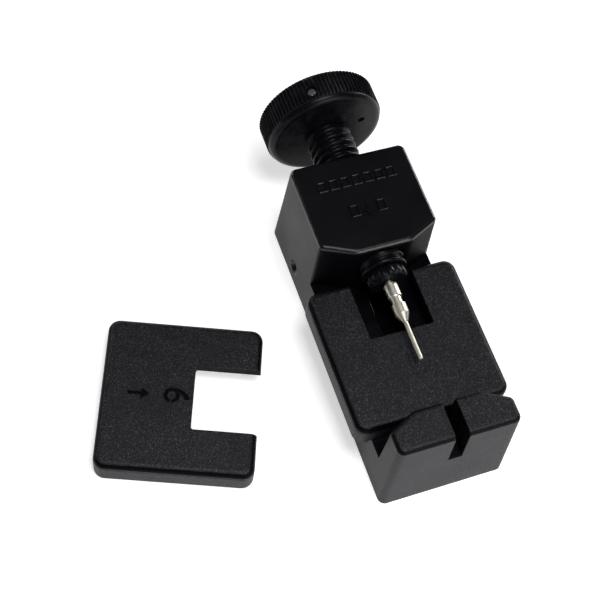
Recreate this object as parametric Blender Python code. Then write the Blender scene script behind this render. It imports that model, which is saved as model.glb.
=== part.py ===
"""Screw-type link pin pusher for watch bracelets, with a spare height plate.

Frame: X to the right, Y along the tool towards the knob, Z up. The body stands on z = 0
and its underside is centred on the origin. Lengths below are in millimetres.
"""
import math

import bmesh
import bpy
from mathutils import Matrix, Vector

MM = 0.001

# ---- body ----
BASE_HALF_WIDTH = 13.55      # at z = 0; the sides lean in as they rise
SIDE_DRAFT = 0.035           # lean of the side faces, mm per mm of height
END_DRAFT = 0.056            # lean of the front and rear faces
BASE_HALF_LENGTH = 33.55     # at z = 0
BLOCK_HEIGHT = 25.2          # the tall block that carries the screw
ANVIL_HEIGHT = 23.3          # the block the bracelet is pushed against
BED_HEIGHT = 10.6            # the low bed between them
BODY_CORNER = 1.5            # radius of the four upright corners
BLOCK_NOSE = (5.8, 9.6)      # half width and y of the flat middle of the block's front
BLOCK_SHOULDER = (12.5, 12.7)   # where the block's slanted front meets the side
ANVIL_NOSE = (7.1, -24.3)
ANVIL_SHOULDER = (12.5, -27.1)
BLOCK_EDGE = 0.9             # rounding of the block's top edge
ANVIL_EDGE = 1.1
SLOT_HALF_WIDTH = 1.45       # slot in the anvil that lets the driven-out pin through
SLOT_X = 0.3                 # its middle, a little to the right
SLOT_FLOOR = 13.7
TRENCH = (2.6, -20.0, 8.8, 3.2)   # half width, front y, rear y, floor z
SIDE_HOLE = (20.8, 4.4, 1.2, 1.75, 9.0)   # y, z, radius, countersink radius, depth

# ---- screw ----
AXIS_Z = 18.78               # height of the screw's axis
BORE_RADIUS = 5.25
CREST_RADIUS = 4.95
ROOT_RADIUS = 4.1
PITCH = 1.75
THREAD_SIDES = 24
THREAD_Y = (8.1, 42.0)       # the thread runs out at both ends
SPINDLE_FRONT = [            # (y, radius) from the floor of the pin's pocket to the thread
    (10.3, 2.3), (7.1, 2.3), (7.1, 4.5), (7.35, 4.85), (7.8, 4.85)]
SPINDLE_STUB = (42.1, 47.7, 3.9)   # plain end inside the knob: front y, rear y, radius

# ---- knob ----
KNOB_PROFILE = [             # (y, radius, knurled)
    (42.3, 11.0, False), (42.43, 11.65, False), (42.9, 12.3, False), (43.6, 12.65, False),
    (43.75, 12.7, True), (49.1, 12.7, True), (49.25, 12.5, False), (49.5, 12.2, False)]
KNURL_RIBS = 94
KNURL_HEIGHT = 0.2           # ribs stand this far above and below the rim radius
KNOB_BORE = (47.9, 4.0)      # floor y, radius
KNOB_BACK = (49.05, 10.1)    # shallow dish in the rear face: floor y, radius
KNOB_MARK = (7.6, 2.7, 0.75, 0.4)   # ejector mark on the face: x, height above axis, radius, depth
FIXING_PIN_Y = 45.8
FIXING_PIN_TILT = math.radians(16.4)   # from upright, towards -X
FIXING_PIN_SPAN = (2.4, 12.15)         # distances from the screw's axis
FIXING_PIN_RADIUS = 1.0

# ---- pusher pin ----
FERRULE = (4.6, 6.8, 4.2, 1.15)   # front y, rear y, radius, hole radius
FERRULE_FLUTES = 14
HOLDER_PROFILE = [           # (y, radius) from the captive head to the cone
    (9.5, 1.9), (7.25, 1.9), (7.25, 0.85), (4.15, 0.85), (4.1, 1.3), (3.9, 1.45),
    (1.1, 1.45), (0.95, 1.25), (-0.5, 1.25), (-0.65, 1.5), (-2.9, 1.5), (-3.05, 1.42),
    (-4.6, 0.62)]
NEEDLE_Y = (-2.0, -13.0, -13.2)   # root, start of the tip chamfer, tip
NEEDLE_RADIUS = 0.45
NEEDLE_BORE = (-1.8, 0.49)   # floor y, radius

# ---- height plates ----
PLATE_HALF_WIDTH = 16.3
PLATE_LENGTH = 31.8
PLATE_CORNER = 2.4
PLATE_EDGE = 1.45            # rounding of the top rim
PLATE_WEB = 2.2
PLATE_WALL = 2.5
PLATE_ARM_OPENING = 9.4      # the rear wall stops this far from the middle
WALL_RELIEF = (13.65, 0.7)    # half width and height cut from the walls over the bed
PAD = (0.45, -4.65, 1.5, 2.65, 0.22)   # raised pad: x, y, half sizes, height
MARK_DEPTH = 0.5
NOTCH_HALF_WIDTH = 6.9
NOTCH_LENGTH = 13.25
FITTED_HEIGHT = 5.8
FITTED_CENTRE = (-0.25, -7.6, 10.0)
SPARE_HEIGHT = 6.3
SPARE_CENTRE = (-45.6, -1.85, 0.0)
SPARE_TURN = math.radians(-111.7)

BODY_BLACK = (0.018, 0.019, 0.021, 1.0)
SCREW_BLACK = (0.012, 0.012, 0.013, 1.0)
NICKEL = (0.66, 0.64, 0.60, 1.0)
STEEL = (0.55, 0.55, 0.56, 1.0)


def material(name, colour, metallic, roughness):
    """Return a named Principled material."""
    mat = bpy.data.materials.new(name)
    mat.use_nodes = True
    shader = mat.node_tree.nodes["Principled BSDF"]
    shader.inputs["Base Color"].default_value = colour
    shader.inputs["Metallic"].default_value = metallic
    shader.inputs["Roughness"].default_value = roughness
    mat.diffuse_color = colour
    return mat


def mesh_object(name, verts, faces, mat=None):
    """Make an object from vertices in millimetres, with its faces turned outwards."""
    mesh = bpy.data.meshes.new(name)
    mesh.from_pydata([(x * MM, y * MM, z * MM) for x, y, z in verts], [], faces)
    bm = bmesh.new()
    bm.from_mesh(mesh)
    bmesh.ops.remove_doubles(bm, verts=bm.verts, dist=1e-7)
    bmesh.ops.recalc_face_normals(bm, faces=bm.faces)
    bm.to_mesh(mesh)
    bm.free()
    obj = bpy.data.objects.new(name, mesh)
    bpy.context.scene.collection.objects.link(obj)
    if mat is not None:
        obj.data.materials.append(mat)
    return obj


def loft(name, rings, mat=None):
    """Skin a stack of rings that all hold the same number of points."""
    count = len(rings[0])
    verts = [point for ring in rings for point in ring]
    faces = [tuple(range(count))[::-1],
             tuple(range((len(rings) - 1) * count, len(rings) * count))]
    for level in range(len(rings) - 1):
        low, high = level * count, (level + 1) * count
        for i in range(count):
            j = (i + 1) % count
            faces.append((low + i, low + j, high + j, high + i))
    return mesh_object(name, verts, faces, mat)


def prism(name, outline, z0, z1):
    """Upright prism over a plan outline."""
    return loft(name, [[(x, y, z0) for x, y in outline], [(x, y, z1) for x, y in outline]])


def box(name, x0, x1, y0, y1, z0, z1):
    return prism(name, [(x0, y0), (x1, y0), (x1, y1), (x0, y1)], z0, z1)


def rounded_rectangle(half_x, y0, y1, radius, steps):
    """Plan outline of a rectangle with rounded corners, anticlockwise."""
    corners = [(half_x - radius, y1 - radius, 0), (-half_x + radius, y1 - radius, 90),
               (-half_x + radius, y0 + radius, 180), (half_x - radius, y0 + radius, 270)]
    points = []
    for cx, cy, start in corners:
        for i in range(steps + 1):
            angle = math.radians(start + 90.0 * i / steps)
            points.append((cx + radius * math.cos(angle), cy + radius * math.sin(angle)))
    return points


def around(y, radius, index, segments):
    """Point number index of a circle round the screw's axis."""
    angle = 2.0 * math.pi * index / segments
    return (radius * math.sin(angle), y, AXIS_Z + radius * math.cos(angle))


def lathe(name, profile, segments, mat=None, closed=False, ripple=None):
    """Turn a (y, radius) profile round the screw's axis.

    An open profile is capped at both ends; a closed one makes a hollow ring.
    ripple(station, i) is added to the radius of point i of that station.
    """
    rings = []
    for station, (y, radius) in enumerate(profile):
        rings.append([around(y, radius + (ripple(station, i) if ripple else 0.0), i, segments)
                      for i in range(segments)])
    if not closed:
        return loft(name, rings, mat)
    verts = [point for ring in rings for point in ring]
    faces = []
    for k in range(len(rings)):
        low, high = k * segments, ((k + 1) % len(rings)) * segments
        for i in range(segments):
            j = (i + 1) % segments
            faces.append((low + i, low + j, high + j, high + i))
    return mesh_object(name, verts, faces, mat)


def rod(name, start, end, radius, segments, tip=None):
    """Round bar between two points, with an optional cone (length, radius) at its end."""
    start, end = Vector(start), Vector(end)
    along = (end - start).normalized()
    side = along.orthogonal().normalized()
    other = along.cross(side)
    stations = [(0.0, radius), ((end - start).length, radius)]
    if tip:
        stations.append(((end - start).length + tip[0], tip[1]))
    rings = []
    for distance, r in stations:
        centre = start + along * distance
        rings.append([tuple(centre + side * r * math.cos(2 * math.pi * i / segments)
                            + other * r * math.sin(2 * math.pi * i / segments))
                      for i in range(segments)])
    return loft(name, rings)


def boolean(target, tools, operation="DIFFERENCE"):
    """Apply exact booleans to target, then discard the tools."""
    for tool in tools:
        tool.hide_render = True
        tool.display_type = "WIRE"
        modifier = target.modifiers.new(tool.name, "BOOLEAN")
        modifier.operation = operation
        modifier.solver = "EXACT"
        modifier.object = tool
    bpy.context.view_layer.update()
    graph = bpy.context.evaluated_depsgraph_get()
    result = bpy.data.meshes.new_from_object(target.evaluated_get(graph))
    target.modifiers.clear()
    target.data = result
    for tool in tools:
        bpy.data.objects.remove(tool, do_unlink=True)
    bm = bmesh.new()
    bm.from_mesh(target.data)
    bmesh.ops.remove_doubles(bm, verts=bm.verts, dist=2e-7)
    bmesh.ops.dissolve_degenerate(bm, edges=bm.edges, dist=2e-7)
    bm.to_mesh(target.data)
    bm.free()
    return target


def bevel(obj, chosen, width, segments):
    """Round the edges for which chosen(a, b), given both ends in mm, is true."""
    bm = bmesh.new()
    bm.from_mesh(obj.data)
    edges = [edge for edge in bm.edges
             if chosen(edge.verts[0].co / MM, edge.verts[1].co / MM)
             and len(edge.link_faces) == 2 and edge.calc_face_angle(0.0) > 0.15]
    bmesh.ops.bevel(bm, geom=edges, offset=width * MM, offset_type="OFFSET",
                    segments=segments, profile=0.5, affect="EDGES", clamp_overlap=True)
    bm.to_mesh(obj.data)
    bm.free()


def smooth(obj, degrees):
    """Shade smoothly, with edges sharper than the angle kept crisp."""
    obj.data.shade_smooth()
    obj.data.set_sharp_from_angle(angle=math.radians(degrees))


def paint(obj, mat):
    obj.data.materials.clear()
    obj.data.materials.append(mat)
    for polygon in obj.data.polygons:
        polygon.material_index = 0


def beyond(nose, shoulder, x):
    """Point at x on the slanted face that runs from nose to shoulder and on."""
    slope = (shoulder[1] - nose[1]) / (shoulder[0] - nose[0])
    return nose[1] + slope * (x - nose[0])


def link_frame(name, x, y, half_x, half_y, rim, z0, z1):
    """Small rectangular outline, one link of the bracelet pictogram."""
    outer = [(x - half_x, y - half_y), (x + half_x, y - half_y),
             (x + half_x, y + half_y), (x - half_x, y + half_y)]
    inner = [(x - half_x + rim, y - half_y + rim), (x + half_x - rim, y - half_y + rim),
             (x + half_x - rim, y + half_y - rim), (x - half_x + rim, y + half_y - rim)]
    verts = [(px, py, z) for z in (z0, z1) for px, py in outer + inner]
    faces = []
    for i in range(4):
        j = (i + 1) % 4
        faces += [(i, j, 8 + j, 8 + i), (4 + j, 4 + i, 12 + i, 12 + j),
                  (i, 4 + i, 4 + j, j), (8 + i, 8 + j, 12 + j, 12 + i)]
    return mesh_object(name, verts, faces)


def arc_strip(cx, cy, radius, start, end, width, steps, stretch=1.0):
    """Plan outline of a curved stroke; angles in degrees, stretched along y."""
    outer, inner = [], []
    for i in range(steps + 1):
        angle = math.radians(start + (end - start) * i / steps)
        for points, r in ((outer, radius + width / 2), (inner, radius - width / 2)):
            points.append((cx + r * math.cos(angle), cy + r * math.sin(angle) * stretch))
    return outer + inner[::-1]


def make_body(mat):
    """One moulding: screw block, bed and anvil."""
    top_x = BASE_HALF_WIDTH - SIDE_DRAFT * BLOCK_HEIGHT
    top_y = BASE_HALF_LENGTH - END_DRAFT * BLOCK_HEIGHT
    body = loft("frame_body", [
        [(x, y, 0.0) for x, y in rounded_rectangle(
            BASE_HALF_WIDTH, -BASE_HALF_LENGTH, BASE_HALF_LENGTH, BODY_CORNER, 4)],
        [(x, y, BLOCK_HEIGHT) for x, y in rounded_rectangle(
            top_x, -top_y, top_y, BODY_CORNER, 4)]])

    far = 22.0
    block_side = beyond(BLOCK_NOSE, BLOCK_SHOULDER, far)
    anvil_side = beyond(ANVIL_NOSE, ANVIL_SHOULDER, far)
    gap = [(-far, block_side), (-BLOCK_NOSE[0], BLOCK_NOSE[1]), BLOCK_NOSE, (far, block_side),
           (far, anvil_side), ANVIL_NOSE, (-ANVIL_NOSE[0], ANVIL_NOSE[1]), (-far, anvil_side)]
    boolean(body, [prism("gap", gap, BED_HEIGHT, 40.0),
                   box("above_anvil", -30, 30, -50, 0, ANVIL_HEIGHT, 40.0)])

    def nose_corner(a, b):
        upright = abs(a.x - b.x) < 1.0 and abs(a.y - b.y) < 1.0 and abs(a.z - b.z) > 5.0
        return upright and -28.0 < a.y < 14.0 and min(a.z, b.z) > BED_HEIGHT - 0.1

    def block_rim(a, b):
        return min(a.z, b.z) > BLOCK_HEIGHT - 0.01

    def anvil_rim(a, b):
        return a.y < -20 and min(a.z, b.z) > ANVIL_HEIGHT - 0.01

    bevel(body, nose_corner, 0.6, 2)
    bevel(body, block_rim, BLOCK_EDGE, 3)
    bevel(body, anvil_rim, ANVIL_EDGE, 3)

    half, front, rear, floor = TRENCH
    hole_y, hole_z, hole_r, sink_r, depth = SIDE_HOLE
    side_x = -BASE_HALF_WIDTH + SIDE_DRAFT * hole_z
    bore = [(5.0, BORE_RADIUS + 0.4), (9.6, BORE_RADIUS + 0.4), (10.0, BORE_RADIUS),
            (31.9, BORE_RADIUS), (32.3, BORE_RADIUS + 0.4), (45.0, BORE_RADIUS + 0.4)]
    boolean(body, [
        box("slot", SLOT_X - SLOT_HALF_WIDTH, SLOT_X + SLOT_HALF_WIDTH, -40, -20,
            SLOT_FLOOR, 40),
        box("trench", -half, half, front, rear, floor, BED_HEIGHT + 6.0),
        lathe("bore", bore, 40),
        rod("side_hole", (side_x - 2.0, hole_y, hole_z), (side_x + depth, hole_y, hole_z),
            hole_r, 20),
        rod("side_sink", (side_x - 0.5, hole_y, hole_z), (side_x - 0.49, hole_y, hole_z),
            sink_r + 0.5, 20, tip=(1.04, sink_r - 0.54))])

    base, raised = BLOCK_HEIGHT - 0.3, BLOCK_HEIGHT + 0.25
    reliefs = [link_frame("link_%d" % i, -7.5 + 2.5 * i, 26.1, 1.02, 1.3, 0.46, base, raised)
               for i in range(7)]
    for i in range(6):
        x = -6.25 + 2.5 * i
        reliefs.append(box("joint_%d" % i, x - 0.37, x + 0.37, 25.9, 26.3, base,
                           raised - 0.06))
    arrow = [(-0.25, 20.6), (-0.25, 18.7), (-1.15, 18.7), (0, 17.3), (1.15, 18.7),
             (0.25, 18.7), (0.25, 20.6)]
    reliefs.append(prism("arrow", arrow, base, raised))
    for side in (-1, 1):
        reliefs.append(link_frame("cheek_%d" % (side + 1), side * 2.9, 19.1, 1.0, 1.45, 0.46,
                                  base, raised))
    boolean(body, reliefs, "UNION")
    paint(body, mat)
    smooth(body, 28)
    return body


def thread_mesh():
    """Rows of a trapezoid thread that follow its helix and run out at both ends."""
    shape = [(0.0, ROOT_RADIUS), (0.22, ROOT_RADIUS), (0.42, CREST_RADIUS),
             (0.78, CREST_RADIUS)]
    rows, (start, end) = len(shape), THREAD_Y
    total = rows * (int((end - start) / PITCH) + 3)
    verts = []
    for k in range(total + rows):
        pitch_number, part = divmod(k, rows)
        for j in range(THREAD_SIDES):
            y = start + (pitch_number - 1 + shape[part][0] + j / THREAD_SIDES) * PITCH
            y = min(max(y, start), end)
            fade = min(1.0, (y - start) / (0.7 * PITCH), (end - y) / (0.35 * PITCH))
            radius = ROOT_RADIUS + (shape[part][1] - ROOT_RADIUS) * fade
            verts.append(around(y, radius, j, THREAD_SIDES))
    faces = []
    for k in range(total - 1):
        for j in range(THREAD_SIDES):
            if j + 1 < THREAD_SIDES:
                right = k * THREAD_SIDES + j + 1
            else:
                right = (k + rows) * THREAD_SIDES
            left = k * THREAD_SIDES + j
            faces.append((left, right, right + THREAD_SIDES, left + THREAD_SIDES))
    return verts, faces


def make_spindle(mat):
    """Threaded shank with a pocket in its nose for the captive head of the pusher pin."""
    verts, faces = thread_mesh()
    stub_front, stub_rear, stub_radius = SPINDLE_STUB
    runs = [SPINDLE_FRONT + [(THREAD_Y[0], ROOT_RADIUS)],
            [(THREAD_Y[1], ROOT_RADIUS), (stub_front, ROOT_RADIUS), (stub_front, stub_radius),
             (stub_rear, stub_radius)]]
    for run, capped in zip(runs, (0, -1)):
        first = len(verts)
        for y, radius in run:
            verts += [around(y, radius, j, THREAD_SIDES) for j in range(THREAD_SIDES)]
        for level in range(len(run) - 1):
            low = first + level * THREAD_SIDES
            for j in range(THREAD_SIDES):
                k = (j + 1) % THREAD_SIDES
                faces.append((low + j, low + k, low + THREAD_SIDES + k, low + THREAD_SIDES + j))
        cap = first if capped == 0 else first + (len(run) - 1) * THREAD_SIDES
        faces.append(tuple(range(cap, cap + THREAD_SIDES)))
    spindle = mesh_object("screw_spindle", verts, faces)
    boolean(spindle, [fixing_rod("stub_hole", FIXING_PIN_SPAN[0] - 0.2, 8.0, 0.1)])
    paint(spindle, mat)
    smooth(spindle, 35)
    return spindle


def fixing_rod(name, near, far, clearance, tip=None):
    """Rod on the axis of the knob's fixing pin, between two distances from the screw."""
    direction = Vector((-math.sin(FIXING_PIN_TILT), 0.0, math.cos(FIXING_PIN_TILT)))
    centre = Vector((0.0, FIXING_PIN_Y, AXIS_Z))
    return rod(name, centre + direction * near, centre + direction * far,
               FIXING_PIN_RADIUS + clearance, 16, tip)


def make_knob(mat):
    """Knurled knob with a rounded shoulder, a blind bore and a cross hole for its pin."""
    def ribs(station, i):
        if not KNOB_PROFILE[station][2]:
            return 0.0
        return KNURL_HEIGHT if i % 2 else -KNURL_HEIGHT

    knob = lathe("knurled_knob", [(y, r) for y, r, _ in KNOB_PROFILE], 2 * KNURL_RIBS,
                 ripple=ribs)
    floor, radius = KNOB_BORE
    back, dish = KNOB_BACK
    face = KNOB_PROFILE[0][0]
    mark_x, mark_up, mark_r, mark_depth = KNOB_MARK
    boolean(knob, [
        lathe("knob_bore", [(face - 2.0, radius), (floor, radius)], 24),
        lathe("knob_dish", [(back, dish - 0.4), (back + 4.0, dish + 3.0)], 40),
        rod("mark", (mark_x, face - 1.0, AXIS_Z + mark_up),
            (mark_x, face + mark_depth, AXIS_Z + mark_up), mark_r, 12),
        fixing_rod("cross_hole", 2.0, 15.0, 0.12)])
    paint(knob, mat)
    smooth(knob, 25)
    return knob


def make_pin_parts(nickel, steel, black):
    """Ferrule, pin holder, needle and the knob's fixing pin."""
    front, rear, radius, hole = FERRULE
    profile = [(front, hole), (front, radius - 0.5), (front + 0.3, radius), (rear, radius),
               (rear, hole)]

    def flutes(station, i):
        return -0.26 if station in (2, 3) and i % 4 in (2, 3) else 0.0

    ferrule = lathe("nose_ferrule", profile, 4 * FERRULE_FLUTES, black, closed=True,
                    ripple=flutes)
    holder = lathe("push_pin_holder", HOLDER_PROFILE, 24)
    boolean(holder, [lathe("needle_bore", [(-8.0, NEEDLE_BORE[1]), NEEDLE_BORE], 16)])
    paint(holder, nickel)
    root, chamfer, tip = NEEDLE_Y
    needle = lathe("push_pin_needle", [(root, NEEDLE_RADIUS), (chamfer, NEEDLE_RADIUS),
                                       (tip, NEEDLE_RADIUS - 0.15)], 16, nickel)
    near, far = FIXING_PIN_SPAN
    pin = fixing_rod("knob_fixing_pin", near, far - 0.3, 0.0,
                     tip=(0.3, FIXING_PIN_RADIUS - 0.3))
    paint(pin, steel)
    for obj in (ferrule, holder, needle, pin):
        smooth(obj, 35)
    return ferrule, holder, needle, pin


def make_plate(name, height, mat, marks):
    """U-shaped height plate, a shallow cap open at the rear, with its notch towards +Y."""
    half = PLATE_LENGTH / 2
    levels = [(0.0, 0.2), (0.2, 0.0), (height - PLATE_EDGE - 0.22, 0.0),
              (height - PLATE_EDGE - 0.11, 0.16), (height - PLATE_EDGE, 0.0)]
    for step in (1, 2, 3, 4):
        angle = math.radians(22.5 * step)
        levels.append((height - PLATE_EDGE + PLATE_EDGE * math.sin(angle),
                       PLATE_EDGE * (1 - math.cos(angle))))
    rings = []
    for z, inset in levels:
        outline = rounded_rectangle(PLATE_HALF_WIDTH - inset, -half + inset, half - inset,
                                    PLATE_CORNER - inset, 4)
        rings.append([(x, y, z) for x, y in outline])
    plate = loft(name, rings)
    inner_x, inner_y = PLATE_HALF_WIDTH - PLATE_WALL, half - PLATE_WALL
    arm = PLATE_ARM_OPENING
    pocket = [(-inner_x, -inner_y), (inner_x, -inner_y), (inner_x, inner_y), (arm, inner_y),
              (arm, half + 4), (-arm, half + 4), (-arm, inner_y), (-inner_x, inner_y)]
    relief_x, relief_z = WALL_RELIEF
    boolean(plate, [
        prism("pocket", pocket, -2.0, height - PLATE_WEB),
        box("relief", -relief_x, relief_x, -half - 3, half + 3, -3.0, relief_z),
        box("notch", -NOTCH_HALF_WIDTH, NOTCH_HALF_WIDTH, half - NOTCH_LENGTH, half + 5,
            -4.0, height + 4)])
    if marks:
        engrave(plate, height)
    else:
        x, y, half_x, half_y, rise = PAD
        sizes = [(half_x, half_y, height - 0.3), (half_x, half_y, height + rise - 0.1),
                 (half_x - 0.12, half_y - 0.12, height + rise)]
        pad = loft("pad", [[(x - a, y - b, z), (x + a, y - b, z), (x + a, y + b, z),
                            (x - a, y + b, z)] for a, b, z in sizes])
        boolean(plate, [pad], "UNION")
    paint(plate, mat)
    smooth(plate, 28)
    return plate


def engrave(plate, height):
    """Engrave the size figure 6 and a pointer, both read from the notch side."""
    low, high = height - MARK_DEPTH, height + 2.0
    loop = arc_strip(0.0, -1.75, 1.25, 0, 350, 0.8, 14)
    tail = arc_strip(1.1, -1.7, 2.35, 180, 97, 0.8, 7, stretch=1.35)
    pointer = [(-0.4, -10.6), (0.4, -10.6), (0.4, -7.9), (1.3, -7.9), (0.0, -6.1),
               (-1.3, -7.9), (-0.4, -7.9)]
    boolean(plate, [prism("loop", loop, low, high)])
    boolean(plate, [prism("tail", tail, low, high)])
    boolean(plate, [prism("pointer", pointer, low, high)])


def move(obj, matrix, origin):
    """Place a finished mesh, then put the object's origin at a point in mm."""
    obj.data.transform(matrix)
    obj.data.transform(Matrix.Translation(Vector(origin) * -MM))
    obj.location = Vector(origin) * MM


def main():
    for obj in list(bpy.data.objects):
        bpy.data.objects.remove(obj, do_unlink=True)
    body_black = material("moulded_black", BODY_BLACK, 0.0, 0.42)
    screw_black = material("screw_black", SCREW_BLACK, 0.0, 0.34)
    nickel = material("bright_nickel", NICKEL, 1.0, 0.24)
    steel = material("pin_steel", STEEL, 1.0, 0.32)

    make_body(body_black)
    spindle = make_spindle(screw_black)
    knob = make_knob(screw_black)
    ferrule, holder, needle, pin = make_pin_parts(nickel, steel, screw_black)
    stay = Matrix.Identity(4)
    for obj, y in ((spindle, SPINDLE_FRONT[1][0]), (knob, KNOB_PROFILE[0][0]),
                   (pin, FIXING_PIN_Y), (ferrule, FERRULE[0]), (holder, 4.1),
                   (needle, NEEDLE_Y[2])):
        move(obj, stay, (0.0, y, AXIS_Z))

    fitted = make_plate("height_plate_fitted", FITTED_HEIGHT, body_black, marks=False)
    move(fitted, Matrix.Translation(Vector(FITTED_CENTRE) * MM), FITTED_CENTRE)
    spare = make_plate("height_plate_spare", SPARE_HEIGHT, body_black, marks=True)
    turn = Matrix.Translation(Vector(SPARE_CENTRE) * MM) @ Matrix.Rotation(SPARE_TURN, 4, "Z")
    move(spare, turn, SPARE_CENTRE)


main()
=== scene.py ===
"""Looks of a bracelet link pin pusher and its spare height plate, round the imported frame.

Lengths are in millimetres in the frame's axes (X right, Y along the tool towards the knob,
Z up); MM turns them into metres. The main sizes come from the frame's own boxes.
"""
import math

import bmesh
import bpy
from mathutils import Matrix, Vector


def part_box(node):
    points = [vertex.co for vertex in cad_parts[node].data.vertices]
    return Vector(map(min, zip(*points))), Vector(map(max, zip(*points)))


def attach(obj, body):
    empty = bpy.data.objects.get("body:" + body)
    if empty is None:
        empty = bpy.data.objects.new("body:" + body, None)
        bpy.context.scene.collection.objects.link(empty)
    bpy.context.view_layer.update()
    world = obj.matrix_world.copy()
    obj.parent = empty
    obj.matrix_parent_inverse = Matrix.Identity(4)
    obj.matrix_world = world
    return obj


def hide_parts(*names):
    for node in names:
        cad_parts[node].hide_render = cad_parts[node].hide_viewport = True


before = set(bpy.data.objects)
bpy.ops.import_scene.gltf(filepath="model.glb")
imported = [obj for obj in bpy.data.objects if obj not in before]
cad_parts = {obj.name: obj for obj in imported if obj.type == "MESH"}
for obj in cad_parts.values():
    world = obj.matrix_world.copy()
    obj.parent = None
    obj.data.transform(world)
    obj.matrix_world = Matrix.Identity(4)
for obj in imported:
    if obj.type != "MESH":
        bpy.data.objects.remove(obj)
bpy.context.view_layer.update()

MM = 0.001


def node_box(name):
    """Lowest and highest corner of a CAD node, in millimetres."""
    low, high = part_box(name)
    return low / MM, high / MM


# ---- sizes read from the frame ----
BODY_HIGH = node_box("frame_body")[1]
KNOB_LOW, KNOB_HIGH = node_box("knurled_knob")
SPINDLE_LOW, SPINDLE_HIGH = node_box("screw_spindle")
FERRULE_LOW, FERRULE_HIGH = node_box("nose_ferrule")
NEEDLE_LOW, NEEDLE_HIGH = node_box("push_pin_needle")
FITTED_LOW, FITTED_HIGH = node_box("height_plate_fitted")
SPARE_LOW, SPARE_HIGH = node_box("height_plate_spare")

AXIS_Z = (NEEDLE_LOW.z + NEEDLE_HIGH.z) / 2   # height of the screw's axis

# ---- body ----
BASE_HALF_WIDTH = BODY_HIGH.x
BASE_HALF_LENGTH = BODY_HIGH.y
RELIEF_RISE = 0.25
BLOCK_HEIGHT = BODY_HIGH.z - RELIEF_RISE
SIDE_DRAFT = 0.035           # lean of the side faces, mm per mm of height
END_DRAFT = 0.056            # lean of the front and rear faces
ANVIL_HEIGHT = 23.3
BED_HEIGHT = 10.6
BODY_CORNER = 1.5            # radius of the four upright corners
BLOCK_NOSE = (5.8, 9.6)      # half width and y of the flat middle of the block's front
BLOCK_SHOULDER = (12.5, 12.7)
ANVIL_NOSE = (7.1, -24.3)
ANVIL_SHOULDER = (12.5, -27.1)
NOSE_ROUND = 0.72
BLOCK_EDGE = 0.9
ANVIL_EDGE = 1.1
SLOT_HALF_WIDTH = 1.45
SLOT_X = 0.3
SLOT_FLOOR = 13.7
TRENCH = (2.6, -20.0, 8.8, 3.2)   # half width, front y, rear y, floor z
SIDE_HOLE = (20.8, 4.4, 1.2, 1.75, 9.0)   # y, z, radius, countersink radius, depth
BORE_RADIUS = 5.25
CLEAR_ABOVE = 40.0           # a height above the whole tool, where cutters end

# ---- raised pictogram on the block ----
LINK_COUNT = 7
LINK_PITCH = 2.5
LINK_Y = 26.1
LINK_HALF = (1.02, 1.3)
CHEEK_PLACE = (2.9, 19.1)
CHEEK_HALF = (1.0, 1.45)
FRAME_RIM = 0.46
FRAME_CHAMFER = (0.14, 0.2)  # width and height

# ---- screw and knob ----
CREST_RADIUS = 4.95
ROOT_RADIUS = 4.1
PITCH = 1.75
THREAD_SIDES = 72
THREAD_START = SPINDLE_LOW.y + 1.0
THREAD_END = SPINDLE_HIGH.y - 5.7
STUB_RADIUS = 3.9
KNOB_RADIUS = 12.7
KNURL_RIBS = 94
KNURL_HEIGHT = 0.19
FIXING_PIN_Y = 45.8
FIXING_PIN_TILT = math.radians(16.4)
FIXING_PIN_SPAN = (2.4, 12.15)
FIXING_PIN_RADIUS = 1.0
FERRULE_FLUTES = 14
NOSE_POCKET = (2.3, 3.2)     # radius and depth, for the captive head of the pin
KNOB_BORE = (4.0, 5.6)       # radius and depth
KNOB_MARK = (7.6, 2.7, 0.75, 0.4)   # ejector mark: x, height above axis, radius, depth
CROSS_HOLE_CLEARANCE = 0.12
HOLDER_PROFILE = [           # (y, radius) from the captive head to the cone
    (9.5, 1.8), (9.4, 1.9), (7.3, 1.9), (7.25, 1.85), (7.25, 0.85), (4.15, 0.85),
    (4.15, 1.3), (4.0, 1.45), (1.15, 1.45), (1.05, 1.38), (1.0, 1.12),
    (-0.5, 1.12), (-0.6, 1.4), (-0.7, 1.5), (-2.85, 1.5), (-2.95, 1.42), (-4.6, 0.58)]
NEEDLE_BORE_RADIUS = 0.49

# ---- height plates ----
PLATE_HALF_WIDTH = (FITTED_HIGH.x - FITTED_LOW.x) / 2
PLATE_LENGTH = FITTED_HIGH.y - FITTED_LOW.y
PLATE_CORNER = 2.4
PLATE_EDGE = 1.45
PLATE_WEB = 2.2
PLATE_WALL = 2.5
PLATE_ARM_OPENING = 9.4
WALL_RELIEF = (13.65, 0.7)
PAD = (0.45, -4.65, 1.5, 2.65, 0.22)   # x, y from the plate's middle, half sizes, height
MARK_DEPTH = 0.5
NOTCH_HALF_WIDTH = 6.9
NOTCH_LENGTH = 13.25
NOTCH_FILLET = 0.5
FITTED_HEIGHT = FITTED_HIGH.z - PAD[4] - FITTED_LOW.z
SPARE_TURN = math.radians(-111.7)

# ---- camera, from the photograph's viewing angle ----
CAMERA_TARGET = Vector((-16.30, 10.17, 10.0))
CAMERA_DISTANCE = 271.8
CAMERA_AZIMUTH = math.radians(-29.44)
CAMERA_ELEVATION = math.radians(61.36)
CAMERA_ROLL = math.radians(11.60)
CAMERA_LENS = 78.9
CAMERA_CLIP = (0.005, 20.0)  # metres
SENSOR = 36.0

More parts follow.
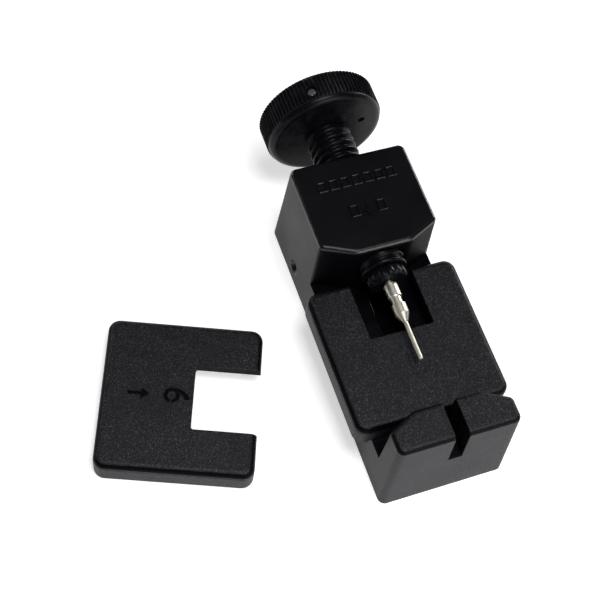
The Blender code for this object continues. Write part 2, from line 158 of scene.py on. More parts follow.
# ---- lights: name, direction from the tool, distance, size, power in watts ----
LIGHT_AIM = Vector((-12.0, 0.0, 8.0))
LIGHTS = [("key_softbox", (0.04, -0.16, 0.98), 620, (240, 240), 2.4),
          ("front_strip", (0.24, -0.88, 0.44), 560, (320, 400), 1.5),
          ("right_panel", (0.88, 0.42, 0.24), 560, (60, 260), 0.9),
          ("rear_panel", (-0.50, 0.85, 0.34), 620, (260, 160), 0.7)]
WORLD_COLOUR = (0.86, 0.92, 1.0, 1.0)
WORLD_STRENGTH = 0.05
FLOOR_SPAN = 4000.0          # half the width of the table
FLOOR_TONE = (0.88, 0.92)
FLOOR_GLOW = 0.58            # keeps the table white and its shadows faint

# ---- colours and finish ----
PLASTIC_DARK = (0.0016, 0.0017, 0.0024)
# light specks of the grain: painted glints, where the grain would catch the light
PLASTIC_GLINT_SPECK = (0.064, 0.067, 0.088)
POLISHED_GLINT_SPECK = (0.005, 0.0056, 0.009)
GRAIN_SCALE = 4400
GRAIN_DEPTH = 0.11
GLINT_SPECK_RANGE = (0.53, 0.70)   # grain heights between which a painted glint speck grows from none to full
PATCH_SCALE = 90
PAINTED_SHADE_SHARE = 0.85          # share of colour and shine taken off faces in painted shade
FLAT_SPECULAR = 0.23
BLOCK_EDGE_GLOSS = 0.55
# low specular levels of the rounded edges, part of their painted shade
BED_EDGE_GLOSS = 0.06
PLATE_EDGE_GLOSS = 0.04
SCREW_DARK = (0.0028, 0.0029, 0.0042)
SCREW_WORN = (0.0085, 0.0088, 0.012)
SCREW_SPECULAR = 0.11
NICKEL = ((0.86, 0.82, 0.71), (0.74, 0.70, 0.59))
STEEL = ((0.56, 0.56, 0.57), (0.44, 0.44, 0.45))

SHARP = 0.15                 # least angle, in radians, that counts as an edge


# ------------------------------------------------------------------ mesh helpers

def mesh_object(name, verts, faces):
    """Make an object from vertices in millimetres, with its faces turned outwards."""
    mesh = bpy.data.meshes.new(name)
    mesh.from_pydata([(x * MM, y * MM, z * MM) for x, y, z in verts], [], faces)
    bm = bmesh.new()
    bm.from_mesh(mesh)
    bmesh.ops.remove_doubles(bm, verts=bm.verts, dist=1e-7)
    bmesh.ops.recalc_face_normals(bm, faces=bm.faces)
    bm.to_mesh(mesh)
    bm.free()
    obj = bpy.data.objects.new(name, mesh)
    bpy.context.scene.collection.objects.link(obj)
    return obj


def loft(name, rings, closed=False):
    """Skin a stack of rings with equal point counts; capped unless closed on itself."""
    count = len(rings[0])
    verts = [point for ring in rings for point in ring]
    faces = []
    if not closed:
        faces = [tuple(range(count))[::-1],
                 tuple(range((len(rings) - 1) * count, len(rings) * count))]
    for level in range(len(rings) if closed else len(rings) - 1):
        low, high = level * count, (level + 1) % len(rings) * count
        for i in range(count):
            j = (i + 1) % count
            faces.append((low + i, low + j, high + j, high + i))
    return mesh_object(name, verts, faces)


def prism(name, outline, z0, z1):
    return loft(name, [[(x, y, z0) for x, y in outline], [(x, y, z1) for x, y in outline]])


def box(name, x0, x1, y0, y1, z0, z1):
    return prism(name, [(x0, y0), (x1, y0), (x1, y1), (x0, y1)], z0, z1)


def rounded_rectangle(half_x, y0, y1, radius, steps):
    """Plan outline of a rectangle with rounded corners, anticlockwise."""
    corners = [(half_x - radius, y1 - radius, 0), (-half_x + radius, y1 - radius, 90),
               (-half_x + radius, y0 + radius, 180), (half_x - radius, y0 + radius, 270)]
    points = []
    for cx, cy, start in corners:
        for i in range(steps + 1):
            angle = math.radians(start + 90.0 * i / steps)
            points.append((cx + radius * math.cos(angle), cy + radius * math.sin(angle)))
    return points


def around(y, radius, index, segments):
    """Point number index of a circle round the screw's axis."""
    angle = 2.0 * math.pi * index / segments
    return (radius * math.sin(angle), y, AXIS_Z + radius * math.cos(angle))


def lathe(name, profile, segments, closed=False, ripple=None):
    """Turn a (y, radius) profile round the screw's axis; ripple(station, i) adds to it."""
    rings = []
    for station, (y, radius) in enumerate(profile):
        rings.append([around(y, radius + (ripple(station, i) if ripple else 0.0), i, segments)
                      for i in range(segments)])
    return loft(name, rings, closed)


def rod(name, start, end, radius, segments, cone=()):
    """Round bar between two points; cone lists further (distance, radius) stations."""
    start, end = Vector(start), Vector(end)
    along = (end - start).normalized()
    side = along.orthogonal().normalized()
    other = along.cross(side)
    length = (end - start).length
    stations = [(0.0, radius), (length, radius)]
    stations += [(length + extra, r) for extra, r in cone]
    rings = []
    for distance, r in stations:
        centre = start + along * distance
        rings.append([tuple(centre + side * r * math.cos(2 * math.pi * i / segments)
                            + other * r * math.sin(2 * math.pi * i / segments))
                      for i in range(segments)])
    return loft(name, rings)


def boolean(target, tools, operation="DIFFERENCE"):
    """Apply exact booleans to target, then discard the tools."""
    for tool in tools:
        modifier = target.modifiers.new(tool.name, "BOOLEAN")
        modifier.operation = operation
        modifier.solver = "EXACT"
        modifier.object = tool
    bake_modifiers(target)
    for tool in tools:
        bpy.data.objects.remove(tool, do_unlink=True)
    bm = bmesh.new()
    bm.from_mesh(target.data)
    bmesh.ops.remove_doubles(bm, verts=bm.verts, dist=2e-7)
    bmesh.ops.dissolve_degenerate(bm, edges=bm.edges, dist=2e-7)
    bm.to_mesh(target.data)
    bm.free()
    return target


def bake_modifiers(obj):
    """Replace an object's mesh by the result of its modifiers."""
    bpy.context.view_layer.update()
    graph = bpy.context.evaluated_depsgraph_get()
    result = bpy.data.meshes.new_from_object(obj.evaluated_get(graph))
    obj.modifiers.clear()
    obj.data = result


def bevel(obj, chosen, width, segments, clamp=True):
    """Round the sharp edges for which chosen(a, b), given both ends in mm, is true."""
    bm = bmesh.new()
    bm.from_mesh(obj.data)
    edges = [edge for edge in bm.edges
             if chosen(edge.verts[0].co / MM, edge.verts[1].co / MM)
             and len(edge.link_faces) == 2 and edge.calc_face_angle(0.0) > SHARP]
    bmesh.ops.bevel(bm, geom=edges, offset=width * MM, offset_type="OFFSET",
                    segments=segments, profile=0.5, affect="EDGES", clamp_overlap=clamp)
    bm.to_mesh(obj.data)
    bm.free()


def shade(obj, degrees):
    """Shade smoothly, keeping edges above the angle crisp and flat faces flat."""
    obj.data.shade_smooth()
    obj.data.set_sharp_from_angle(angle=math.radians(degrees))
    normals = obj.modifiers.new("weighted normals", "WEIGHTED_NORMAL")
    normals.keep_sharp = True
    normals.weight = 100


# ------------------------------------------------------------------ materials

class Nodes:
    """Short way to add and wire shader nodes of one material."""

    def __init__(self, name):
        self.material = bpy.data.materials.new(name)
        self.material.use_nodes = True
        self.tree = self.material.node_tree
        self.shader = self.tree.nodes["Principled BSDF"]
        self.point = self.add("ShaderNodeTexCoord").outputs["Object"]

    def add(self, kind, inputs=(), **settings):
        made = self.tree.nodes.new(kind)
        for key, value in settings.items():
            setattr(made, key, value)
        for key, value in dict(inputs).items():
            self.put(value, made.inputs[key])
        return made

    def put(self, value, socket):
        """Wire an output to a socket, or set the socket's own value."""
        if isinstance(value, bpy.types.NodeSocket):
            self.tree.links.new(value, socket)
        else:
            socket.default_value = value

    def noise(self, scale, detail, roughness=0.6, vector=None):
        made = self.add("ShaderNodeTexNoise", {
            "Vector": vector or self.point, "Scale": scale, "Detail": detail,
            "Roughness": roughness})
        return made.outputs["Fac"]

    def math(self, operation, a, b):
        made = self.add("ShaderNodeMath", {0: a, 1: b}, operation=operation)
        return made.outputs[0]

    def ranged(self, value, low, high, to_low, to_high):
        """Map value from one range to another, clamped at its ends."""
        made = self.add("ShaderNodeMapRange", {
            "Value": value, "From Min": low, "From Max": high, "To Min": to_low,
            "To Max": to_high})
        return made.outputs["Result"]

    def blend_values(self, factor, low, high):
        """Mix two plain values."""
        made = self.add("ShaderNodeMix", {0: factor, 2: low, 3: high}, data_type="FLOAT")
        return made.outputs[0]

    def blend(self, factor, low, high):
        """Mix two colours, given as (r, g, b) or as an output."""
        made = self.add("ShaderNodeMix", data_type="RGBA")
        for value, socket in ((factor, made.inputs[0]), (low, made.inputs[6]),
                              (high, made.inputs[7])):
            if isinstance(value, tuple):
                value = (*value, 1.0)
            self.put(value, socket)
        return made.outputs[2]

    def bump(self, height, strength, distance):
        made = self.add("ShaderNodeBump", {
            "Height": height, "Strength": strength, "Distance": distance * MM})
        return made.outputs["Normal"]

    def surface(self, colour, roughness, normal, metallic=0.0, specular=0.5):
        self.put(colour, self.shader.inputs["Base Color"])
        self.put(roughness, self.shader.inputs["Roughness"])
        self.put(normal, self.shader.inputs["Normal"])
        self.shader.inputs["Metallic"].default_value = metallic
        self.put(specular, self.shader.inputs["Specular IOR Level"])
        return self.material


def plastic(name, edge_gloss, shaded_below, smooth_beyond=None):
    """Black moulded plastic with a spark-eroded grain, whose light specks are painted glints.

    The rounded edges get painted shade: their grain specks are left out, and they have
    their own specular level, edge_gloss.
    Faces marked "inner" are darkened with painted shade, and so are upward faces lower than
    shaded_below, in mm, the floors of grooves and marks. Beyond smooth_beyond, in mm along Y,
    the mould was polished: the grain is faint, and only there the edges take edge_gloss.
    """
    n = Nodes(name)
    fine = n.noise(GRAIN_SCALE, 2.0, 0.55)
    patches = n.noise(PATCH_SCALE, 3.0, 0.55)
    place_of = n.add("ShaderNodeSeparateXYZ", {"Vector": n.point})
    facing = n.add("ShaderNodeNewGeometry").outputs["Normal"]
    upward = n.add("ShaderNodeSeparateXYZ", {"Vector": facing}).outputs["Z"]
    # rounded edges: painted shade, grain specks left out and specular set by edge_gloss
    rounded = n.math("MULTIPLY", n.ranged(upward, 0.08, 0.28, 0.0, 1.0),
                     n.ranged(upward, 0.80, 0.93, 1.0, 0.0))
    # upward faces below shaded_below, the floors of grooves and marks: painted shade
    shaded_floor = n.math("MULTIPLY", n.ranged(upward, 0.90, 0.97, 0.0, 1.0),
                  n.ranged(place_of.outputs["Z"], (shaded_below - 0.1) * MM,
                           (shaded_below + 0.1) * MM, 1.0, 0.0))
    # faces marked inner, walls in hollows and between parts: painted shade
    inner = n.add("ShaderNodeAttribute", attribute_name="inner").outputs["Fac"]
    painted_shade = n.math("MULTIPLY", n.math("MAXIMUM", shaded_floor, inner), PAINTED_SHADE_SHARE)
    # painted shade of rounded edges and hollows keeps the grain specks off there
    edge_and_hollow_shade = n.math("MAXIMUM", rounded, painted_shade)
    strength = 1.0
    shine = n.ranged(patches, 0.3, 0.7, 0.30, 0.38)
    light = PLASTIC_GLINT_SPECK
    if smooth_beyond is not None:
        polished = n.ranged(place_of.outputs["Y"], smooth_beyond * MM,
                            (smooth_beyond + 1.0) * MM, 0.0, 1.0)
        worn = n.ranged(rounded, 0.0, 1.0, 0.14, 0.40)
        edge_gloss = n.blend_values(polished, BED_EDGE_GLOSS, edge_gloss)
        strength = n.blend_values(polished, 1.0, worn)
        light = n.blend(polished, light, POLISHED_GLINT_SPECK)
    # light specks of the grain: painted glints
    specks = n.ranged(fine, *GLINT_SPECK_RANGE, 0.0, 1.0)
    amount = n.math("MULTIPLY", specks, n.ranged(patches, 0.35, 0.65, 0.6, 1.0))
    shown = n.math("MULTIPLY", amount, n.math("SUBTRACT", 1.0, edge_and_hollow_shade))
    colour = n.blend(shown, PLASTIC_DARK, light)
    normal = n.bump(fine, strength, GRAIN_DEPTH)
    # painted shade also lowers the specular level
    specular = n.math("MULTIPLY", n.blend_values(rounded, FLAT_SPECULAR, edge_gloss),
                      n.math("SUBTRACT", 1.0, painted_shade))
    shine = n.math("SUBTRACT", shine, n.math("MULTIPLY", rounded, 0.10))
    upright = n.ranged(upward, 0.06, 0.12, 1.0, 0.0)
    shine = n.math("ADD", shine, n.math("MULTIPLY", upright, 0.18))
    return n.surface(colour, shine, normal, specular=specular)


def black_screw():
    """Glossier black of the turned screw, knob and ferrule, with faint turning marks."""
    n = Nodes("screw_black_fine")
    stretched = n.add("ShaderNodeMapping", {"Vector": n.point, "Scale": (0.25, 5.0, 0.25)})
    turning = n.noise(900, 3.0, 0.6, stretched.outputs["Vector"])
    wear = n.noise(420, 4.0, 0.6)
    colour = n.blend(n.ranged(wear, 0.5, 0.75, 0.0, 1.0), SCREW_DARK, SCREW_WORN)
    normal = n.bump(turning, 0.08, 0.008)
    roughness = n.ranged(wear, 0.3, 0.7, 0.24, 0.34)
    return n.surface(colour, roughness, normal, specular=SCREW_SPECULAR)


def metal(name, colour, tint, low, high):
    """Bright turned metal: ring-shaped tool marks and faint smudges."""
    n = Nodes(name)
    rings = n.add("ShaderNodeMapping", {"Vector": n.point, "Scale": (0.3, 9.0, 0.3)})
    turning = n.noise(1100, 2.0, 0.5, rings.outputs["Vector"])
    smudge = n.noise(500, 3.0, 0.5)
    shade_of = n.blend(n.ranged(smudge, 0.35, 0.7, 0.0, 1.0), colour, tint)
    normal = n.bump(turning, 0.05, 0.004)
    return n.surface(shade_of, n.ranged(turning, 0.3, 0.7, low, high), normal, metallic=1.0)


def paint(obj, mat):
    obj.data.materials.clear()
    obj.data.materials.append(mat)
    for polygon in obj.data.polygons:
        polygon.material_index = 0


def mark_painted_shade(obj, chosen):
    """Store on each face whether chosen(centre, normal) calls it an inner wall for painted
    shade; in mm.
    """
    marks = obj.data.attributes.new("inner", "FLOAT", "FACE")
    for face, mark in zip(obj.data.polygons, marks.data):
        mark.value = float(chosen(face.center / MM, face.normal))


# ------------------------------------------------------------------ body

def beyond(nose, shoulder, x):
    """Y at x on the slanted face that runs from nose to shoulder and on."""
    slope = (shoulder[1] - nose[1]) / (shoulder[0] - nose[0])
    return nose[1] + slope * (x - nose[0])


def link_frame(name, x, y, half_x, half_y, rim, z0, z1):
    """Small rectangular outline, one link of the bracelet pictogram."""
    rings = []
    slope, drop = FRAME_CHAMFER
    for inset, z in ((0.0, z0), (0.0, z1 - drop), (slope, z1), (rim - slope, z1),
                     (rim, z1 - drop), (rim, z0)):
        a, b = half_x - inset, half_y - inset
        rings.append([(x - a, y - b, z), (x + a, y - b, z), (x + a, y + b, z),
                      (x - a, y + b, z)])
    return loft(name, rings, closed=True)


def body_reliefs():
    """Raised pictogram: a row of bracelet links over an arrow between two cheeks."""
    base, raised = BLOCK_HEIGHT - 0.3, BLOCK_HEIGHT + RELIEF_RISE
    middle = (LINK_COUNT - 1) / 2
    reliefs = [link_frame("link_%d" % i, LINK_PITCH * (i - middle), LINK_Y, *LINK_HALF,
                          FRAME_RIM, base, raised) for i in range(LINK_COUNT)]
    for i in range(LINK_COUNT - 1):
        x = LINK_PITCH * (i - middle + 0.5)
        reliefs.append(box("joint_%d" % i, x - 0.37, x + 0.37, 25.9, 26.3, base,
                           raised - 0.06))
    arrow = [(-0.25, 20.6), (-0.25, 18.7), (-1.15, 18.7), (0, 17.3), (1.15, 18.7),
             (0.25, 18.7), (0.25, 20.6)]
    reliefs.append(prism("arrow", arrow, base, raised))
    cheek_x, cheek_y = CHEEK_PLACE
    for side in (-1, 1):
        reliefs.append(link_frame("cheek_%d" % (side + 1), side * cheek_x, cheek_y,
                                  *CHEEK_HALF, FRAME_RIM, base, raised))
    return reliefs


def make_body(mat):
    """One moulding: screw block, bed and anvil."""
    top_x = BASE_HALF_WIDTH - SIDE_DRAFT * BLOCK_HEIGHT
    top_y = BASE_HALF_LENGTH - END_DRAFT * BLOCK_HEIGHT
    body = loft("body_moulding", [
        [(x, y, 0.0) for x, y in rounded_rectangle(
            BASE_HALF_WIDTH, -BASE_HALF_LENGTH, BASE_HALF_LENGTH, BODY_CORNER, 8)],
        [(x, y, BLOCK_HEIGHT) for x, y in rounded_rectangle(
            top_x, -top_y, top_y, BODY_CORNER, 8)]])
    far = 22.0
    block_side = beyond(BLOCK_NOSE, BLOCK_SHOULDER, far)
    anvil_side = beyond(ANVIL_NOSE, ANVIL_SHOULDER, far)
    gap = [(-far, block_side), (-BLOCK_NOSE[0], BLOCK_NOSE[1]), BLOCK_NOSE, (far, block_side),
           (far, anvil_side), ANVIL_NOSE, (-ANVIL_NOSE[0], ANVIL_NOSE[1]), (-far, anvil_side)]
    boolean(body, [prism("gap", gap, BED_HEIGHT, CLEAR_ABOVE),
                   box("above_anvil", -30, 30, -50, 0, ANVIL_HEIGHT, CLEAR_ABOVE)])

    def nose_corner(a, b):
        upright = abs(a.x - b.x) < 1.0 and abs(a.y - b.y) < 1.0 and abs(a.z - b.z) > 5.0
        return upright and -28.0 < a.y < 14.0 and min(a.z, b.z) > BED_HEIGHT - 0.1

    def block_rim(a, b):
        return min(a.z, b.z) > BLOCK_HEIGHT - 0.01

    def anvil_rim(a, b):
        return a.y < -20 and min(a.z, b.z) > ANVIL_HEIGHT - 0.01

    bevel(body, nose_corner, NOSE_ROUND, 4)
    bevel(body, block_rim, BLOCK_EDGE, 6)
    bevel(body, anvil_rim, ANVIL_EDGE, 6)

    half, front, rear, floor = TRENCH
    hole_y, hole_z, hole_r, sink_r, depth = SIDE_HOLE
    side_x = -BASE_HALF_WIDTH + SIDE_DRAFT * hole_z
    bore = [(5.0, BORE_RADIUS + 0.2), (9.6, BORE_RADIUS + 0.2), (9.8, BORE_RADIUS),
            (31.2, BORE_RADIUS), (31.6, BORE_RADIUS + 0.4), (45.0, BORE_RADIUS + 0.4)]
    boolean(body, [
        box("slot", SLOT_X - SLOT_HALF_WIDTH, SLOT_X + SLOT_HALF_WIDTH, -40, -20,
            SLOT_FLOOR, CLEAR_ABOVE),
        box("trench", -half, half, front, rear, floor, BED_HEIGHT + 6.0),
        lathe("bore", bore, 72),
        rod("side_hole", (side_x - 2.0, hole_y, hole_z), (side_x + depth, hole_y, hole_z),
            hole_r, 32),
        rod("side_sink", (side_x - 0.5, hole_y, hole_z), (side_x - 0.49, hole_y, hole_z),
            sink_r + 0.5, 32, cone=[(1.04, sink_r - 0.54)])])
    boolean(body, body_reliefs(), "UNION")

    def slot_edge(a, b):
        return all(abs(abs(p.x - SLOT_X) - SLOT_HALF_WIDTH) < 0.002 and p.y < -20.5
                   and p.z > SLOT_FLOOR - 0.01 for p in (a, b))

    def trench_edge(a, b):
        return all(abs(p.z - BED_HEIGHT) < 0.002 and -20.5 < p.y < 9.0
                   and abs(p.x) < half + 0.01 for p in (a, b))

    for chosen, width in ((slot_edge, 0.16), (trench_edge, 0.12)):
        bevel(body, chosen, width, 2, clamp=False)

    # upright faces between block and anvil, and within the trench's width: painted shade
    def painted_shade_wall(centre, normal):
        between = BED_HEIGHT < centre.z and -27.2 < centre.y < 12.8
        sunken = abs(centre.x) < half + 0.1 and abs(centre.y) < 32.0
        return abs(normal.z) < 0.1 and (between and abs(normal.x) < 0.8 or sunken)

    mark_painted_shade(body, painted_shade_wall)
    paint(body, mat)
    shade(body, 40)
    return body


# ------------------------------------------------------------------ screw, knob and pin

def thread_rows():
    """Radii over one pitch of the thread, as (share of the pitch, radius), rounded."""
    depth = CREST_RADIUS - ROOT_RADIUS
    shape = [(0.0, 0.0), (0.20, 0.0), (0.25, 0.12), (0.40, 0.86), (0.45, 0.97), (0.52, 1.0),
             (0.68, 1.0), (0.75, 0.97), (0.80, 0.86), (0.95, 0.12)]
    return [(share, ROOT_RADIUS + depth * height) for share, height in shape]


def make_spindle(mat):
    """Threaded shank with a pocket in its nose for the captive head of the pin."""
    shape = thread_rows()
    rows, sides = len(shape), THREAD_SIDES
    total = rows * (int((THREAD_END - THREAD_START) / PITCH) + 3)
    verts, faces = [], []
    for k in range(total + rows):
        turn, part = divmod(k, rows)
        for j in range(sides):
            y = THREAD_START + (turn - 1 + shape[part][0] + j / sides) * PITCH
            y = min(max(y, THREAD_START), THREAD_END)
            fade = min(1.0, (y - THREAD_START) / (0.7 * PITCH),
                       (THREAD_END - y) / (0.35 * PITCH))
            radius = ROOT_RADIUS + (shape[part][1] - ROOT_RADIUS) * fade
            verts.append(around(y, radius, j, sides))
    for k in range(total - 1):
        for j in range(sides):
            left = k * sides + j
            right = left + 1 if j + 1 < sides else (k + rows) * sides
            faces.append((left, right, right + sides, left + sides))
    nose = SPINDLE_LOW.y
    pocket_r, pocket_depth = NOSE_POCKET
    front = [(nose + pocket_depth, pocket_r), (nose, pocket_r), (nose, 4.5), (nose + 0.1, 4.7),
             (nose + 0.25, 4.85), (nose + 0.6, 4.85), (nose + 0.8, 4.75),
             (THREAD_START, ROOT_RADIUS)]
    rear = [(THREAD_END, ROOT_RADIUS), (THREAD_END + 0.1, ROOT_RADIUS),
            (THREAD_END + 0.1, STUB_RADIUS), (SPINDLE_HIGH.y, STUB_RADIUS)]
    for run, capped in ((front, 0), (rear, len(rear) - 1)):
        first = len(verts)
        for y, radius in run:
            verts += [around(y, radius, j, sides) for j in range(sides)]
        for level in range(len(run) - 1):
            low = first + level * sides
            for j in range(sides):
                k = (j + 1) % sides
                faces.append((low + j, low + k, low + sides + k, low + sides + j))
        cap = first + capped * sides
        faces.append(tuple(range(cap, cap + sides)))
    spindle = mesh_object("spindle_thread", verts, faces)
    paint(spindle, mat)
    shade(spindle, 50)
    return spindle


def fixing_rod(name, near, far, clearance, cone=()):
    """Rod on the axis of the knob's fixing pin, between two distances from the screw."""
    direction = Vector((-math.sin(FIXING_PIN_TILT), 0.0, math.cos(FIXING_PIN_TILT)))
    centre = Vector((0.0, FIXING_PIN_Y, AXIS_Z))
    return rod(name, centre + direction * near, centre + direction * far,
               FIXING_PIN_RADIUS + clearance, 28, cone)


def make_knob(mat):
    """Knurled knob with a rounded shoulder, a blind bore and a cross hole for its pin."""
    front, rear = KNOB_LOW.y, KNOB_HIGH.y
    shoulder = [(front, 8.0), (front, 10.9)]
    for step in range(7):
        angle = math.radians(90.0 * step / 6)
        shoulder.append((front + 1.3 * (1 - math.cos(angle)), 11.0 + 1.6 * math.sin(angle)))
    knurl = [(front + 1.32, 12.62, 0.0), (front + 1.45, KNOB_RADIUS, 0.75),
             (front + 1.6, KNOB_RADIUS, 1.0), (rear - 0.42, KNOB_RADIUS, 1.0),
             (rear - 0.25, 12.58, 0.6), (rear - 0.08, 12.35, 0.0), (rear, 12.15, 0.0),
             (rear, 10.95, 0.0)]
    stations = [(y, r, 0.0) for y, r in shoulder] + knurl
    per_rib = 8

    def ribs(station, i):
        wave = math.cos(2 * math.pi * i / per_rib)
        sharpened = math.copysign(abs(wave) ** 0.8, wave)
        return stations[station][2] * KNURL_HEIGHT * sharpened

    knob = lathe("knob_turned", [(y, r) for y, r, _ in stations], per_rib * KNURL_RIBS,
                 ripple=ribs)
    bore_r, bore_depth = KNOB_BORE
    mark_x, mark_up, mark_r, mark_depth = KNOB_MARK
    mark_z = AXIS_Z + mark_up
    boolean(knob, [
        lathe("knob_bore", [(front - 2.0, bore_r), (front + bore_depth, bore_r)], 48),
        lathe("knob_dish", [(rear - 0.45, 9.8), (rear - 0.3, 10.2), (rear + 4.0, 13.2)], 96),
        rod("mark", (mark_x, front - 1.0, mark_z), (mark_x, front + mark_depth, mark_z),
            mark_r, 24),
        fixing_rod("cross_hole", 2.0, 15.0, CROSS_HOLE_CLEARANCE)])
    paint(knob, mat)
    shade(knob, 35)
    return knob


def make_ferrule(mat):
    """Fluted ring that keeps the pin in the nose of the screw."""
    front, rear = FERRULE_LOW.y, FERRULE_HIGH.y
    hole, radius = 1.15, FERRULE_HIGH.x
    profile = [(front, hole), (front, radius - 0.75), (front + 0.12, radius - 0.45),
               (front + 0.35, radius - 0.08), (front + 0.5, radius), (rear - 0.15, radius),
               (rear, radius - 0.12), (rear, hole)]
    depth = [0, 0, 0.3, 0.9, 1, 1, 1, 0]
    per_flute = 10

    def flutes(station, i):
        wave = 0.5 - 0.5 * math.cos(2 * math.pi * i / per_flute)
        return -0.3 * depth[station] * wave ** 1.5

    ferrule = lathe("ferrule_fluted", profile, per_flute * FERRULE_FLUTES, closed=True,
                    ripple=flutes)
    paint(ferrule, mat)
    shade(ferrule, 40)
    return ferrule


def make_holder(mat):
    """Turned, collared holder of the needle."""
    holder = lathe("pin_holder_turned", HOLDER_PROFILE, 64)
    boolean(holder, [lathe("needle_bore", [(-8.0, NEEDLE_BORE_RADIUS),
                                           (-1.8, NEEDLE_BORE_RADIUS)], 32)])
    paint(holder, mat)
    shade(holder, 18)
    return holder


def make_needle(mat):
    """The pin that drives the link pin out, with a slightly domed tip."""
    radius, tip = NEEDLE_HIGH.x, NEEDLE_LOW.y
    profile = [(NEEDLE_HIGH.y, radius), (tip + 0.22, radius), (tip + 0.12, radius - 0.03),
               (tip + 0.04, radius - 0.1), (tip, radius - 0.2)]
    needle = lathe("needle_turned", profile, 40)
    paint(needle, mat)
    shade(needle, 35)
    return needle


def make_fixing_pin(mat):
    near, far = FIXING_PIN_SPAN
    pin = fixing_rod("fixing_pin_turned", near, far - 0.3, 0.0,
                     cone=[(0.12, FIXING_PIN_RADIUS - 0.04), (0.22, FIXING_PIN_RADIUS - 0.12),
                           (0.3, FIXING_PIN_RADIUS - 0.3)])
    paint(pin, mat)
    shade(pin, 35)
    return pin


# ------------------------------------------------------------------ height plates

def arc_strip(cx, cy, radius, start, end, width, steps, stretch=1.0):
    """Plan outline of a curved stroke; angles in degrees, stretched along y."""
    outer, inner = [], []
    for i in range(steps + 1):
        angle = math.radians(start + (end - start) * i / steps)
        for points, r in ((outer, radius + width / 2), (inner, radius - width / 2)):
            points.append((cx + r * math.cos(angle), cy + r * math.sin(angle) * stretch))
    return outer + inner[::-1]


def notch_outline(half):
    """Notch open towards +Y, with small fillets in its two inner corners."""
    y0, r = half - NOTCH_LENGTH, NOTCH_FILLET
    points = [(NOTCH_HALF_WIDTH, half + 5), (-NOTCH_HALF_WIDTH, half + 5)]
    for side in (-1, 1):
        for i in range(5):
            angle = math.radians(90.0 * i / 4)
            if side < 0:
                dx, dy = math.cos(angle), math.sin(angle)
            else:
                dx, dy = math.sin(angle), math.cos(angle)
            points.append((side * (NOTCH_HALF_WIDTH - r + r * dx), y0 + r - r * dy))
    return points


def make_plate(name, height, mat, marks):
    """U-shaped height plate, a shallow cap open at the rear, with its notch towards +Y."""
    half = PLATE_LENGTH / 2
    rim = height - PLATE_EDGE
    levels = [(0.0, 0.28), (0.08, 0.12), (0.22, 0.02), (0.35, 0.0), (rim - 0.24, 0.0),
              (rim - 0.19, 0.05), (rim - 0.13, 0.17), (rim - 0.07, 0.05), (rim - 0.02, 0.0)]
    for step in range(1, 9):
        angle = math.radians(90.0 * step / 8)
        levels.append((rim + PLATE_EDGE * math.sin(angle),
                       PLATE_EDGE * (1 - math.cos(angle))))
    rings = []
    for z, inset in levels:
        outline = rounded_rectangle(PLATE_HALF_WIDTH - inset, -half + inset, half - inset,
                                    PLATE_CORNER - inset, 8)
        rings.append([(x, y, z) for x, y in outline])
    plate = loft(name, rings)
    inner_x, inner_y = PLATE_HALF_WIDTH - PLATE_WALL, half - PLATE_WALL
    arm = PLATE_ARM_OPENING
    pocket = [(-inner_x, -inner_y), (inner_x, -inner_y), (inner_x, inner_y), (arm, inner_y),
              (arm, half + 4), (-arm, half + 4), (-arm, inner_y), (-inner_x, inner_y)]
    relief_x, relief_z = WALL_RELIEF
    boolean(plate, [
        prism("pocket", pocket, -2.0, height - PLATE_WEB),
        box("relief", -relief_x, relief_x, -half - 3, half + 3, -3.0, relief_z),
        prism("notch", notch_outline(half), -4.0, height + 4)])
    if marks:
        engrave(plate, height)
    else:
        x, y, half_x, half_y, rise = PAD
        sizes = [(half_x, half_y, height - 0.3), (half_x, half_y, height + rise - 0.1),
                 (half_x - 0.04, half_y - 0.04, height + rise - 0.03),
                 (half_x - 0.12, half_y - 0.12, height + rise)]
        pad = loft("pad", [[(x - a, y - b, z), (x + a, y - b, z), (x + a, y + b, z),
                            (x - a, y + b, z)] for a, b, z in sizes])
        boolean(plate, [pad], "UNION")

    def notch_edge(a, b):
        return all(abs(p.x) < NOTCH_HALF_WIDTH + 0.01 and p.z > rim + 0.2
                   and p.y > half - NOTCH_LENGTH - 0.01 for p in (a, b))

    bevel(plate, notch_edge, 0.16, 2, clamp=False)

    # the notch walls: painted shade
    def painted_shade_notch_wall(centre, normal):
        return (abs(normal.z) < 0.1 and abs(centre.x) < NOTCH_HALF_WIDTH + 0.01
                and centre.y > half - NOTCH_LENGTH - 0.01)

    mark_painted_shade(plate, painted_shade_notch_wall)
    paint(plate, mat)
    shade(plate, 40)
    return plate


def engrave(plate, height):
    """Engrave the size figure 6 and a pointer, both read from the notch side."""
    low, high = height - MARK_DEPTH, height + 2.0
    loop = arc_strip(0.0, -1.75, 1.25, 0, 350, 0.8, 28)
    tail = arc_strip(1.1, -1.7, 2.35, 180, 97, 0.8, 14, stretch=1.35)
    pointer = [(-0.4, -10.6), (0.4, -10.6), (0.4, -7.9), (1.3, -7.9), (0.0, -6.1),
               (-1.3, -7.9), (-0.4, -7.9)]
    for name, outline in (("loop", loop), ("tail", tail), ("pointer", pointer)):
        boolean(plate, [prism(name, outline, low, high)])


# ------------------------------------------------------------------ stage and camera

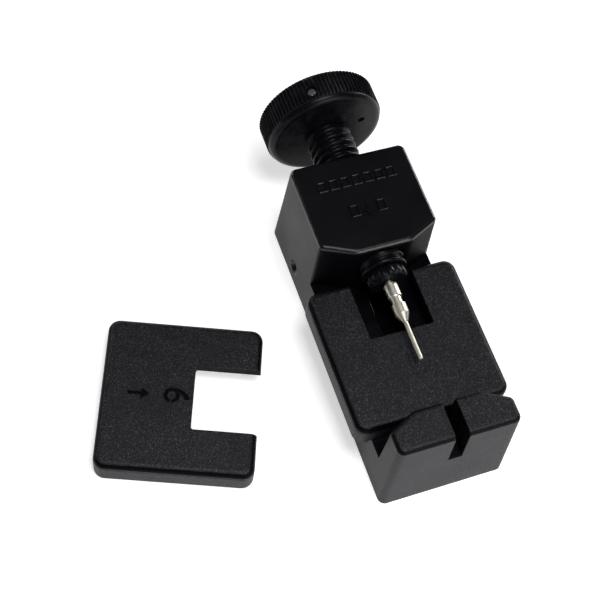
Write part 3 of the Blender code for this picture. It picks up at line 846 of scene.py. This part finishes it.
def make_floor():
    """Plain white table: one wide flat sheet that glows a little."""
    span = FLOOR_SPAN
    floor = mesh_object("floor_sheet", [(-span, -span, 0), (span, -span, 0), (span, span, 0),
                                        (-span, span, 0)], [(0, 1, 2, 3)])
    n = Nodes("white_table")
    tone = n.ranged(n.noise(6.0, 2.0), 0.3, 0.7, *FLOOR_TONE)
    colour = n.add("ShaderNodeCombineColor", {0: tone, 1: tone, 2: tone})
    n.put(colour.outputs[0], n.shader.inputs["Base Color"])
    n.shader.inputs["Roughness"].default_value = 0.9
    n.shader.inputs["Specular IOR Level"].default_value = 0.1
    n.put(colour.outputs[0], n.shader.inputs["Emission Color"])
    n.shader.inputs["Emission Strength"].default_value = FLOOR_GLOW
    floor.data.materials.append(n.material)


def area_light(name, direction, distance, size, power):
    """Soft rectangular white light, sizes in mm, aimed between the tool and the plate."""
    data = bpy.data.lights.new(name, "AREA")
    data.shape = "RECTANGLE"
    data.size, data.size_y = size[0] * MM, size[1] * MM
    data.energy = power
    light = bpy.data.objects.new(name, data)
    bpy.context.scene.collection.objects.link(light)
    towards = Vector(direction).normalized()
    light.location = (LIGHT_AIM + towards * distance) * MM
    light.rotation_mode = "QUATERNION"
    light.rotation_quaternion = towards.to_track_quat("Z", "Y")


def make_lights():
    for light in LIGHTS:
        area_light(*light)
    world = bpy.data.worlds.new("studio")
    world.use_nodes = True
    background = world.node_tree.nodes["Background"]
    background.inputs["Color"].default_value = WORLD_COLOUR
    background.inputs["Strength"].default_value = WORLD_STRENGTH
    bpy.context.scene.world = world


def make_camera():
    data = bpy.data.cameras.new("camera")
    data.lens = CAMERA_LENS
    data.sensor_width = SENSOR
    data.clip_start, data.clip_end = CAMERA_CLIP
    camera = bpy.data.objects.new("camera", data)
    bpy.context.scene.collection.objects.link(camera)
    back = Vector((math.sin(CAMERA_AZIMUTH) * math.cos(CAMERA_ELEVATION),
                   -math.cos(CAMERA_AZIMUTH) * math.cos(CAMERA_ELEVATION),
                   math.sin(CAMERA_ELEVATION)))
    level = Vector((0, 0, 1)).cross(back).normalized()
    upright = back.cross(level)
    right = level * math.cos(CAMERA_ROLL) + upright * math.sin(CAMERA_ROLL)
    up = back.cross(right)
    turn = Matrix((right, up, back)).transposed().to_4x4()
    place = (CAMERA_TARGET + back * CAMERA_DISTANCE) * MM
    camera.matrix_world = Matrix.Translation(place) @ turn
    bpy.context.scene.camera = camera


# ------------------------------------------------------------------ assembly

def stand_in(piece, node, body):
    """Let a finished piece ride its body in place of a CAD node."""
    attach(piece, body)
    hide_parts(node)


def place(obj, matrix):
    obj.data.transform(matrix)
    return obj


make_camera()
make_lights()
make_floor()
bpy.context.scene.view_settings.view_transform = "Standard"

# the third argument: upward faces below this height get painted shade
body_plastic = plastic("moulded_black_body", BLOCK_EDGE_GLOSS, BED_HEIGHT + 4.0,
                       smooth_beyond=0.0)
fitted_plastic = plastic("moulded_black_fitted", PLATE_EDGE_GLOSS,
                         FITTED_LOW.z + FITTED_HEIGHT - 0.25)
spare_plastic = plastic("moulded_black_spare", PLATE_EDGE_GLOSS, SPARE_HIGH.z - 0.25)
screw_black = black_screw()
nickel = metal("nickel_turned", *NICKEL, 0.34, 0.46)
steel = metal("steel_turned", *STEEL, 0.24, 0.4)

stand_in(make_body(body_plastic), "frame_body", "frame")
stand_in(make_spindle(screw_black), "screw_spindle", "screw")
stand_in(make_knob(screw_black), "knurled_knob", "screw")
stand_in(make_fixing_pin(steel), "knob_fixing_pin", "screw")
stand_in(make_ferrule(screw_black), "nose_ferrule", "screw")
stand_in(make_holder(nickel), "push_pin_holder", "pusher")
stand_in(make_needle(nickel), "push_pin_needle", "pusher")

fitted_centre = (FITTED_LOW + FITTED_HIGH) / 2
fitted_place = Matrix.Translation(Vector((fitted_centre.x, fitted_centre.y, FITTED_LOW.z)) * MM)
fitted = place(make_plate("plate_fitted", FITTED_HEIGHT, fitted_plastic, marks=False),
               fitted_place)
stand_in(fitted, "height_plate_fitted", "fitted_plate")

spare_centre = (SPARE_LOW + SPARE_HIGH) / 2
spare_place = (Matrix.Translation(Vector((spare_centre.x, spare_centre.y, SPARE_LOW.z)) * MM)
               @ Matrix.Rotation(SPARE_TURN, 4, "Z"))
spare = place(make_plate("plate_spare", SPARE_HIGH.z - SPARE_LOW.z, spare_plastic, marks=True),
              spare_place)
stand_in(spare, "height_plate_spare", "spare_plate")
